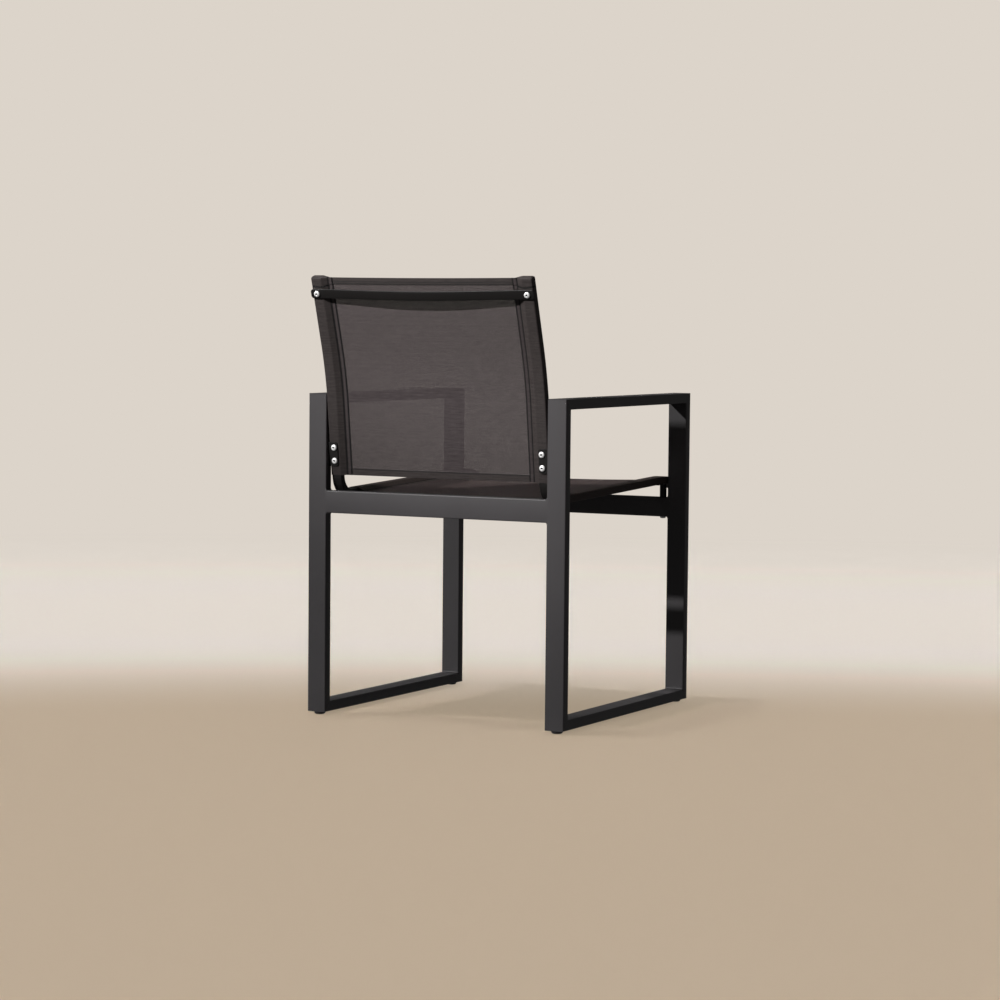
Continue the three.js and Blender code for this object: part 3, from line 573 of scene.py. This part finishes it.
        # Backed: where a hem, a flap or the rail lies behind the cloth, which the material paints a little darker as
        # shade.
        backed = np.maximum(doubled, soft_step((x - flap_x) / (seam_x + backed_past_seam - flap_x)))
        shares = {"doubled": doubled, "backed": backed, "crease": self.crease(x, grid_along)}
        for share, values in shares.items():
            values = np.tile(values.ravel(), 2).astype(np.float32)
            mesh.attributes.new(share, "FLOAT", "POINT").data.foreach_set("value", values)
        return mesh


def weave_group():
    """Plain weave on a map in millimetres. A yarn's height is a rounded ridge across it plus a cosine along it that
    turns over at each crossing. The higher yarn shows, and a square gap is open at the corners between four yarns.
    Each yarn has its own tone, and slow streaks along the yarns stand for uneven yarn."""
    wave_share, yarn_spread, streak_spread = 0.35, 0.5, 2
    streak_across, streak_along = 0.3, 0.035
    sockets = {"Map": None, "Pitch": 0.8, "Gap": 0.12}
    group, source, result = new_group("woven_mesh", sockets, ["Height", "Tone", "Cover"])
    calc = functools.partial(math_node, group)
    split = new_node(group, "SeparateXYZ", {0: source["Map"]}).outputs
    u, v = (calc("DIVIDE", split[axis], source["Pitch"]) for axis in "XY")
    heights, tones, open_to = [], [], []
    for own, other, turn, uneven in ((u, v, 1, 0.15), (v, u, -1, 0.7)):
        count, to_edge = calc("FLOOR", own), calc("PINGPONG", own, 0.5)
        ridge = calc("SQRT", calc("MULTIPLY", to_edge, 2))
        phase = calc("ADD", calc("SUBTRACT", other, 0.5), count)
        wave = calc("MULTIPLY", calc("COSINE", calc("MULTIPLY", phase, math.pi)), wave_share * turn)
        heights.append(calc("ADD", calc("MULTIPLY", ridge, 1 - wave_share), wave))
        open_to.append(calc("LESS_THAN", to_edge, source["Gap"]))
        each = new_node(group, "TexWhiteNoise", {"W": count}, noise_dimensions="1D").outputs["Value"]
        place_on_yarn = {"X": calc("MULTIPLY", own, streak_across), "Y": calc("MULTIPLY", other, streak_along)}
        stretched = new_node(group, "CombineXYZ", place_on_yarn).outputs["Vector"]
        noise = {"Vector": stretched, "Scale": 1, "Detail": 3}
        streak = new_node(group, "TexNoise", noise, noise_dimensions="2D").outputs["Fac"]
        spread = calc("MULTIPLY", calc("SUBTRACT", each, 0.5), yarn_spread)
        slow = calc("MULTIPLY", calc("SUBTRACT", streak, 0.5), streak_spread)
        tones.append(calc("ADD", calc("MULTIPLY", calc("ADD", spread, slow), uneven), 0.5))
    shown = calc("GREATER_THAN", heights[1], heights[0])
    tone = new_node(group, "Mix", {"Factor": shown, "A": tones[0], "B": tones[1]}).outputs["Result"]
    cover = calc("SUBTRACT", 1, calc("MULTIPLY", *open_to))
    feed(group, result, {"Height": calc("MAXIMUM", *heights), "Tone": tone, "Cover": cover})
    return group


woven_mesh = weave_group()


def mesh_cloth(name, dark, pale, gap):
    """Coated yarn cloth: satin, two tones of yarn, open between the yarns. Each ray meets one wall of the closed
    sheet from outside and one from inside, and only the first of them covers it. The gaps close at a slant, behind
    one another in a hem, and where stitching draws the yarns together, and a painted shade darkens that crease.
    Where it has a hem, a flap or the rail behind it, no light comes through the yarn itself, and a painted shade
    makes it a little darker."""
    hem_cover, closed_facing = 0.85, 0.55
    material, tree, shader = new_material(name)
    calc = functools.partial(math_node, tree)
    where = new_node(tree, "UVMap", uv_map="cloth").outputs["UV"]
    weave = new_node(tree, "Group", {"Map": where, "Gap": gap}, node_tree=woven_mesh).outputs
    doubled, backed, crease = (
        new_node(tree, "Attribute", attribute_name=share).outputs["Fac"] for share in ("doubled", "backed", "crease")
    )
    colour = mix_node(tree, weave["Tone"], dark, pale)
    # Painted shade where a hem, a flap or the rail lies behind the cloth, for the light that no longer comes through
    # the yarn.
    colour = mix_node(tree, backed, colour, painted_backed_shade, blend_type="MULTIPLY")
    # Painted shade in the stitching's crease.
    colour = mix_node(tree, crease, colour, crease_painted_shade)
    facing = new_node(tree, "LayerWeight").outputs["Facing"]
    slant = new_node(tree, "MapRange", {"Value": facing, "From Max": closed_facing, "To Min": 1, "To Max": 0})
    layers = calc("MAXIMUM", calc("MULTIPLY", doubled, hem_cover), crease)
    gaps = calc("MULTIPLY", calc("SUBTRACT", 1, weave["Cover"]), calc("SUBTRACT", 1, layers))
    gaps = calc("MULTIPLY", gaps, slant.outputs["Result"])
    inside = new_node(tree, "NewGeometry").outputs["Backfacing"]
    bump = {"Strength": 0.6, "Distance": 0.2 * mm, "Height": weave["Height"]}
    feed(tree, shader, {
        "Base Color": colour,
        "Alpha": calc("MULTIPLY", calc("SUBTRACT", 1, gaps), calc("SUBTRACT", 1, inside)),
        "Normal": new_node(tree, "Bump", bump).outputs["Normal"],
        "Roughness": 0.62,
        "Specular IOR Level": 0.2,
    })
    return material


stitch_pitch, stitch_length, stitch_radius, stitch_sides = 4.2 * mm, 3.3 * mm, 0.5 * mm, 6
row_margin, hem_row_margin = 2 * mm, 1 * mm
arch_inner, arch_outer = 17 * mm, 4.5 * mm
thread = plain_finish("sewing_thread", thread_colour, 0.7)


def stitches(rows):
    """One small closed bead for each stitch of the given rows, each row a pair of arrays: places and outward
    directions at the stitches' middles. A bead is an ellipsoid along the row, with rings at equal turns."""
    turn = np.linspace(0, 2 * math.pi, stitch_sides, endpoint=False)
    reach, girth = np.array([[-0.94, -0.6, 0.6, 0.94], [0.55, 1, 1, 0.55]])[..., None]
    ring = np.stack(np.broadcast_arrays(reach, girth * np.cos(turn), girth * np.sin(turn)), -1)
    bead = np.concatenate([ring.reshape(-1, 3), [[-1.0, 0, 0], [1.0, 0, 0]]])
    bead = bead * [stitch_length / 2, stitch_radius, stitch_radius]
    index = np.arange(len(bead) - 2).reshape(-1, stitch_sides)
    beside = np.roll(index, -1, axis=1)
    quads = np.stack([index[:-1], beside[:-1], beside[1:], index[1:]], -1).reshape(-1, 4)[:, ::-1]
    tips = [(index.size, beside[0], index[0]), (index.size + 1, index[-1], beside[-1])]
    ends = np.concatenate([np.stack(np.broadcast_arrays(*tip), -1) for tip in tips])[:, ::-1]
    places, outward = (np.concatenate(part) for part in zip(*rows))
    along = np.concatenate([np.gradient(middles, axis=0) for middles, _ in rows])
    along /= np.linalg.norm(along, axis=1, keepdims=True)
    across = np.cross(outward, along)
    across /= np.linalg.norm(across, axis=1, keepdims=True)
    axes = np.stack([along, across, np.cross(along, across)], 1)
    points = places[:, None, :] + np.einsum("kc,nca->nka", bead, axes)
    first = (np.arange(len(places)) * len(bead))[:, None, None]
    faces = [*(quads[None] + first).reshape(-1, 4).tolist(), *(ends[None] + first).reshape(-1, 3).tolist()]
    return points.reshape(-1, 3), faces


def sling_rows(cloth):
    """Rows of stitching: down both edges of each flap, on both faces of the cloth, across both hems, and across the
    closed end of each sleeve in a shallow curve."""
    rows = []
    lift = cloth_thickness / 2
    for sign in (-1, 1):
        for x in (seam_x + seam_inset, flap_x + seam_inset):
            start = cloth.reach + hem_row_margin if x < seam_x else row_margin
            line = np.arange(start, cloth.length - row_margin, stitch_pitch)
            for rear_layer in (True, False):
                middle, normal = cloth.surface(np.full(len(line), sign * across_at(x, rear_layer)), line)
                rows.append((middle + lift * normal, normal))
        sleeve = np.arange(rail_x - arch_inner, rail_x + arch_outer, stitch_pitch)
        middle, normal = cloth.surface(sign * across_at(sleeve, True), arch_row(sleeve))
        rows.append((middle + lift * normal, normal))
    for line in cloth.hem_rows:
        width = across_at(flap_x - hem_row_margin, False)
        across = np.arange(-width, width, stitch_pitch) + hair
        middle, normal = cloth.surface(across, np.full(len(across), line))
        rows.append((middle + lift * normal, normal))
        rows.append((middle - (cloth_thickness + lift) * normal, -normal))
    return rows


back_cloth = mesh_cloth("back_mesh_cloth", (0.0298, 0.0234, 0.0241, 1), (0.0868, 0.0697, 0.0712, 1), gap=0.112)
seat_cloth = mesh_cloth("seat_mesh_cloth", (0.0270, 0.0185, 0.0172, 1), (0.0650, 0.0465, 0.0440, 1), gap=0.115)
back_top, back_bottom = rail_line.length + 4 * mm, rail_line.length - 394.4 * mm
seat_front, seat_back = -3.2 * mm, rail_line.marks[3] - 21 * mm
back_sags, seat_sags = (4 * mm, 3 * mm, 0.5 * mm), (3.3 * mm, 8 * mm, 4 * mm)
back = Sling(back_top, back_bottom, back_sags, cap_reach)
seat = Sling(seat_front, seat_back, seat_sags, 1 * mm)
for name, cloth, material in (("back", back, back_cloth), ("seat", seat, seat_cloth)):
    node = f"{name}_sling"
    piece = place(cloth.mesh(f"{node}_cloth"), material, f"{name}_cloth", nodes=[node])
    points, faces = stitches(sling_rows(cloth))
    mesh = bpy.data.meshes.new(f"{node}_stitching")
    mesh.from_pydata(points, [], faces)
    mesh.shade_smooth()
    sewing = place(mesh, thread, f"{name}_cloth")


# Spreader bar: an 18 x 3 mm flat bar, black powder coat, bowed to the rear so that the cloth never rests on it, and
# screwed flat to the sleeves at both ends. Its corners are round and its edges barely eased.
sleeve_half_depth = rail_depth / 2 + sleeve_ease + cloth_thickness
seat_gap = 0.2 * mm
leaf_base = sleeve_half_depth + seat_gap
bar_height, bar_thickness, bar_overhang = 18 * mm, 3 * mm, 13.7 * mm
bar_corner, bar_edge, bar_bow = 5 * mm, 0.8 * mm, 13 * mm
bow_steps, flat_steps, end_steps, edge_points = 60, 5, 12, 6
bar_distance = rail_line.length - 29.5 * mm
screw_head = 6 * mm


def place_on(distance, points):
    """Moves points, given across the chair, along the rail line and out of its rear, to a distance on the line."""
    along, out = rail_line.frame(distance)
    base = rail_line.point(0.0, distance, 0.0)
    return base + points[..., :1] * [1, 0, 0] + points[..., 1:2] * along + points[..., 2:] * out


def bowed_bar():
    """Rings along x. The rise is the bow times (1 - s^2)^1.5, s being the share of the way from the middle to the
    screw, and nought beyond it. Near an end the height follows the quarter circle of the corner."""
    bow_reach = rail_x - screw_head - seat_gap
    half = rail_x + bar_overhang
    bow = np.linspace(0, bow_reach, bow_steps)[1:]
    flat = np.linspace(bow_reach, half - bar_corner, flat_steps)[1:-1]
    end = half - bar_corner + bar_corner * np.sin(np.linspace(0, math.pi / 2, end_steps))
    right = np.concatenate([bow, flat, end])
    x = np.concatenate([-right[::-1], [0], right])
    inside = np.clip(1 - (x / bow_reach) ** 2, 0, 1)
    rise = leaf_base + bar_thickness / 2 + bar_bow * inside**1.5
    over = np.clip(np.abs(x) - (half - bar_corner), 0, bar_corner)
    narrow = 1 - (bar_corner - np.sqrt(bar_corner**2 - over**2)) / (bar_height / 2)
    outline, _ = rounded_rectangle(bar_height, bar_thickness, bar_edge, edge_points)
    columns = x[:, None], outline[:, 0] * narrow[:, None], rise[:, None] + outline[:, 1]
    return place_on(bar_distance, np.stack(np.broadcast_arrays(*columns), -1))


place(skin("spreader_bar", bowed_bar(), sharp=40), black_coat, "rail_coat", nodes=["back_spreader_bar"])


# Brackets: 2 mm steel angles, black powder coat. One leaf lies on the sleeve under two screws and the other is
# welded to the rear leg. They keep the plain bent plates of the CAD, with their edges eased.
bracket_thickness, bracket_edge, merge_reach = 2 * mm, 0.4 * mm, 0.01 * mm
for side in sides:
    bracket = frame["nodes"][f"{side}_back_bracket"]
    bracket.data.materials.clear()
    bracket.data.materials.append(black_coat)
    weld = bracket.modifiers.new("weld", "WELD")
    weld.merge_threshold = merge_reach
    ease = bracket.modifiers.new("ease", "BEVEL")
    ease.width, ease.segments = bracket_edge, 2
    ease.limit_method, ease.angle_limit = "ANGLE", math.radians(40)
    ease.harden_normals = True


# Screws: M6 button heads of stainless steel with a hexagon socket. Two hold each bracket and one each end of the
# bar, all into nuts in the rails, and a longer one comes up through the front rail and a spacer on each side.
screw_radius, head_height, head_rim, head_edge = 3 * mm, 3.6 * mm, 1.4 * mm, 0.3 * mm
dome_turn, dome_rings, around = math.radians(68), 9, 48
socket_radius, socket_depth = 2.3 * mm, 2 * mm
point_radius, point_depth = 0.5 * mm, 0.4 * mm
lip_width, lip_drop, lip_round, lip_ease = 0.25 * mm, 0.35 * mm, 0.1 * mm, 0.15 * mm
screw_tip, shank_end, screw_spread = 0.8 * mm, -1.5 * mm, 13 * mm
steel_colour, socket_shade = (0.88, 0.87, 0.86, 1), (0.10, 0.095, 0.09, 1)


def hexagon(angle):
    """Distance to the side of a hexagon whose corners are at 1: cos 30 over the cosine of the turn from the middle
    of the nearest side."""
    from_middle = np.mod(angle, math.pi / 3) - math.pi / 6
    return math.cos(math.pi / 6) / np.cos(from_middle)


def turned(profile, hexagonal=0):
    """Rings of a turned piece about Z, one for each radius and height of the profile. The last rings, as many as
    hexagonal says, are six-sided."""
    angle = np.linspace(0, 2 * math.pi, around, endpoint=False)
    radius, height = np.array(profile).T[..., None]
    reach = radius * np.ones(around)
    if hexagonal:
        reach[-hexagonal:] *= hexagon(angle)
    return np.stack(np.broadcast_arrays(reach * np.cos(angle), reach * np.sin(angle), height), -1)


def screw_rings(shank):
    """Shank, underside, straight rim, a dome on an ellipse's quarter, then the socket's lip, wall and floor."""
    turn = np.linspace(0, dome_turn, dome_rings)[1:]
    dome_height = head_rim + (head_height - head_rim) * np.sin(turn) / math.sin(dome_turn)
    lip, foot = socket_radius + lip_width, head_height - socket_depth
    profile = [(screw_radius - screw_tip, -shank), (screw_radius, screw_tip - shank), (screw_radius, 0)]
    profile += [(screw_head - head_edge, 0), (screw_head, head_edge), (screw_head, head_rim)]
    profile += list(zip(screw_head * np.cos(turn), dome_height))
    profile += [(lip + lip_ease, head_height), (lip, head_height - lip_round)]
    profile += [(socket_radius, head_height - lip_drop), (socket_radius, foot), (point_radius, foot - point_depth)]
    return turned(profile, hexagonal=3)


def place_screw(node, rings):
    """Places a screw with the attribute "sunk", which is one at the foot and the floor of its socket, the last two
    rings, and nought on all the others, so a painted shade darkens the socket's wall evenly from its lip to its foot."""
    mesh = skin(f"{node}_turned", rings)
    sunk = np.zeros(rings.shape[:2])
    sunk[-2:] = 1
    mesh.attributes.new("sunk", "FLOAT", "POINT").data.foreach_set("value", sunk.ravel())
    place(mesh, stainless, "steel", nodes=[node])


def steel_grain_group():
    """Fine grain of turned steel, as a change of roughness."""
    smooth, rough = 0.3, 0.45
    group, source, result = new_group("steel_grain", {"Scale": 2500.0}, ["Roughness"])
    where = new_node(group, "TexCoord").outputs["Object"]
    noise = new_node(group, "TexNoise", {"Vector": where, "Scale": source["Scale"]}).outputs["Fac"]
    span = new_node(group, "MapRange", {"Value": noise, "To Min": smooth, "To Max": rough})
    feed(group, result, {"Roughness": span.outputs["Result"]})
    return group


stainless, tree, shader = new_material("stainless_steel")
grain = new_node(tree, "Group", node_tree=steel_grain_group()).outputs["Roughness"]
sunk = new_node(tree, "Attribute", attribute_name="sunk").outputs["Fac"]
# Painted shade in the socket, where the attribute sunk is one.
colour = mix_node(tree, sunk, steel_colour, socket_shade)
feed(tree, shader, {"Base Color": colour, "Roughness": grain, "Metallic": 0.35})

foot_z = float(np.interp(rail_line.marks[4], rail_line.steps, rail_line.z))
bracket_distance = rail_line.marks[4] + (back_level - foot_z) / math.cos(lumbar_lean)
bracket_seat = leaf_base + bracket_thickness + seat_gap
bar_seat = leaf_base + bar_thickness + seat_gap
back_screws = {
    "lower_bracket": (bracket_distance - screw_spread, bracket_seat),
    "upper_bracket": (bracket_distance + screw_spread, bracket_seat),
    "spreader_bar": (bar_distance, bar_seat),
}
for side, sign in sides.items():
    for where, (distance, stand) in back_screws.items():
        rings = place_on(distance, screw_rings(stand - shank_end) + [sign * rail_x, 0, stand])
        place_screw(f"{side}_{where}_screw", rings)
    low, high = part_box(f"{side}_seat_bolt")
    rings = screw_rings(high.z - low.z - head_height)
    rings = rings * [1, -1, -1] + [(low.x + high.x) / 2, (low.y + high.y) / 2, low.z + head_height]
    place_screw(f"{side}_seat_bolt", rings)


# Spacers: round black tubes on the front cross rail that carry the seat. Their upper ends are cut to its slope.
spacer_bore, spacer_radius, spacer_edge = 3.3 * mm, 7 * mm, 0.4 * mm
tilt = math.tan(bolt_slope)
for side in sides:
    low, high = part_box(f"{side}_seat_spacer")
    tall = high.z - low.z - spacer_radius * tilt
    profile = [(spacer_bore, 0), (spacer_radius - spacer_edge, 0), (spacer_radius, spacer_edge)]
    profile += [(spacer_radius, tall - spacer_edge), (spacer_radius - spacer_edge, tall), (spacer_bore, tall)]
    rings = turned(profile)
    rings[..., 2] -= np.where(rings[..., 2] > tall / 2, rings[..., 1] * tilt, 0)
    rings = rings + [(low.x + high.x) / 2, (low.y + high.y) / 2, low.z]
    mesh = skin(f"{side}_seat_spacer_tube", rings, closed=False)
    place(mesh, black_coat, "rail_coat", nodes=[f"{side}_seat_spacer"])


# Glides: round black nylon feet on threaded stems. Each screws up and down in an insert in its floor rail, so it
# rides on a body of its own.
glide_profile = [(6.9, 0), (7.5, 0.15), (9.25, 0.65), (10.6, 2), (11, 2.8), (11, 4.4), (10.7, 5.1), (9.8, 5.7)]
glide_profile += [(4, 5.7), (4, 21), (3, 22)]
for side in sides:
    for end in ("rear", "front"):
        low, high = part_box(f"{side}_{end}_glide")
        rings = turned(np.array(glide_profile) * mm) + [(low.x + high.x) / 2, (low.y + high.y) / 2, low.z]
        mesh = skin(f"{side}_{end}_glide_foot", rings)
        place(mesh, black_nylon, "black_plastic", body=f"{end}_{side}_foot", nodes=[f"{side}_{end}_glide"])


# Studio: a plain pale floor that turns into an even backdrop with the distance from the camera, a key light from
# the left behind the camera, a weak fill from the front and a soft light from above that gives the shadow under
# the chair. The floor glows a little for the camera, which keeps its shadows soft.
floor_reach, floor_corners, floor_glow = 60, 96, 0.66
floor_near, backdrop = (0.47, 0.38, 0.28, 1), (0.716, 0.658, 0.591, 1)
pale_span, fade_span = (5.8, 7.05), (8.25, 10.35)
camera_at = np.array([2.7298, rear_face - 4.9141, 0.7974])
turn = np.linspace(0, 2 * math.pi, floor_corners, endpoint=False)
floor_mesh = bpy.data.meshes.new("studio_floor")
rim = np.stack([floor_reach * np.cos(turn), floor_reach * np.sin(turn), 0 * turn], -1)
floor_mesh.from_pydata(rim, [], [list(range(floor_corners))])
floor = in_scene("studio_floor", floor_mesh)
floor.visible_diffuse = floor.visible_glossy = False
paint, tree, _ = new_material("studio_floor")
tree.nodes.clear()
where = new_node(tree, "TexCoord").outputs["Object"]
away = new_node(tree, "VectorMath", {0: where, 1: (*camera_at[:2], 0)}, operation="DISTANCE").outputs["Value"]
spans = ({"Value": away, "From Min": start, "From Max": end} for start, end in (pale_span, fade_span))
pale, fade = (new_node(tree, "MapRange", span, interpolation_type="SMOOTHSTEP").outputs["Result"] for span in spans)
tone = mix_node(tree, pale, floor_near, backdrop)
seen = new_node(tree, "LightPath").outputs["Is Camera Ray"]
lit = new_node(tree, "BsdfDiffuse", {"Color": tone}).outputs["BSDF"]
glow = new_node(tree, "Emission", {"Color": tone, "Strength": math_node(tree, "MULTIPLY", seen, floor_glow)})
near = new_node(tree, "AddShader", {0: lit, 1: glow.outputs["Emission"]}).outputs["Shader"]
far = new_node(tree, "Emission", {"Color": backdrop, "Strength": seen}).outputs["Emission"]
blend = new_node(tree, "MixShader", {"Fac": fade, 1: near, 2: far}).outputs["Shader"]
new_node(tree, "OutputMaterial", {"Surface": blend})
floor_mesh.materials.append(paint)

world = bpy.data.worlds.new("studio")
bpy.context.scene.world = world
world.use_nodes = True
tree = world.node_tree
tree.nodes.clear()
fill = new_node(tree, "Background", {"Color": (1.0, 0.985, 0.965, 1), "Strength": 0.095}).outputs["Background"]
shown = new_node(tree, "Background", {"Color": backdrop}).outputs["Background"]
seen = new_node(tree, "LightPath").outputs["Is Camera Ray"]
choose = new_node(tree, "MixShader", {"Fac": seen, 1: fill, 2: shown}).outputs["Shader"]
new_node(tree, "OutputWorld", {"Surface": choose})

lit_sets = (bpy.data.collections.new(f"{name}_lit") for name in ("chair", "frame", "rear", "back", "floor"))
chair_pieces, frame_pieces, rear_pieces, back_pieces, floor_alone = lit_sets
floor_alone.objects.link(floor)
for piece in bpy.data.objects:
    if piece.type == "MESH" and piece != floor:
        on_back = piece.name.startswith("back_sling")
        chair_pieces.objects.link(piece)
        (back_pieces if on_back else frame_pieces).objects.link(piece)
        if not on_back and "front_leg" not in piece.name:
            rear_pieces.objects.link(piece)


def lamp(name, kind, towards, power, receivers, at=(0, 0, 0), mirrored=True):
    """Lamp at a place that shines along a direction, on the given pieces, or on all and the floor with None."""
    light = bpy.data.lights.new(name, kind)
    light.energy = power
    holder = in_scene(name, light)
    holder.location = at
    holder.rotation_euler = mathutils.Vector(towards).to_track_quat("-Z", "Y").to_euler()
    holder.visible_glossy = mirrored
    holder.light_linking.receiver_collection = receivers
    return light


key_heading = (0.53, 1)
suns = (
    ("key", (*key_heading, -0.473), 2.1, 1.5, frame_pieces),
    ("front_fill", (0.5, -0.8, -0.5), 1.1, 20, chair_pieces),
    ("top", (0.24, 0.14, -1), 0.6, 7, None),
    ("ceiling", (0, 0, -1), 0.4, 100, floor_alone),
)
for name, towards, power, spread, receivers in suns:
    lamp(name, "SUN", towards, power, receivers, mirrored=name != "front_fill").angle = math.radians(spread)

# Two narrow beams on the upper part of the chair, one on the arms and legs and one on the cloth of the back. Their
# edges fade down the legs and the cloth.
beam_aim = np.array([-0.05, rear_face, 0.97])
beam_distance, beam_reach = 6.0, 0.66
for name, drop, power, receivers in (("upper_key", 0.8, 2050, rear_pieces), ("back_key", 0.67, 2600, back_pieces)):
    beam = np.array([*key_heading, -drop])
    beam /= np.linalg.norm(beam)
    spot = lamp(name, "SPOT", beam, power, receivers, at=beam_aim - beam_distance * beam)
    spot.spot_size = 2 * math.atan(beam_reach / beam_distance)
    spot.spot_blend = 1
    spot.shadow_soft_size = 0.05

# Camera at the photograph's place: a long lens, turned to the left, tipped a little down and barely rolled.
camera = bpy.data.cameras.new("camera")
camera.sensor_width = 36
camera.lens = 105.43
yaw, tip, roll = math.radians(27.761), math.radians(3.685), math.radians(0.523)
ahead = np.array([-math.sin(yaw) * math.cos(tip), math.cos(yaw) * math.cos(tip), -math.sin(tip)])
level = np.array([math.cos(yaw), math.sin(yaw), 0])
upward = np.cross(level, ahead)
right = math.cos(roll) * level + math.sin(roll) * upward
upward = math.cos(roll) * upward - math.sin(roll) * level
eye = in_scene("camera", camera)
matrix = np.eye(4)
matrix[:3] = np.stack([right, upward, -ahead, camera_at], 1)
eye.matrix_world = mathutils.Matrix(matrix.tolist())
bpy.context.scene.camera = eye
bpy.context.scene.view_settings.view_transform = "Standard"
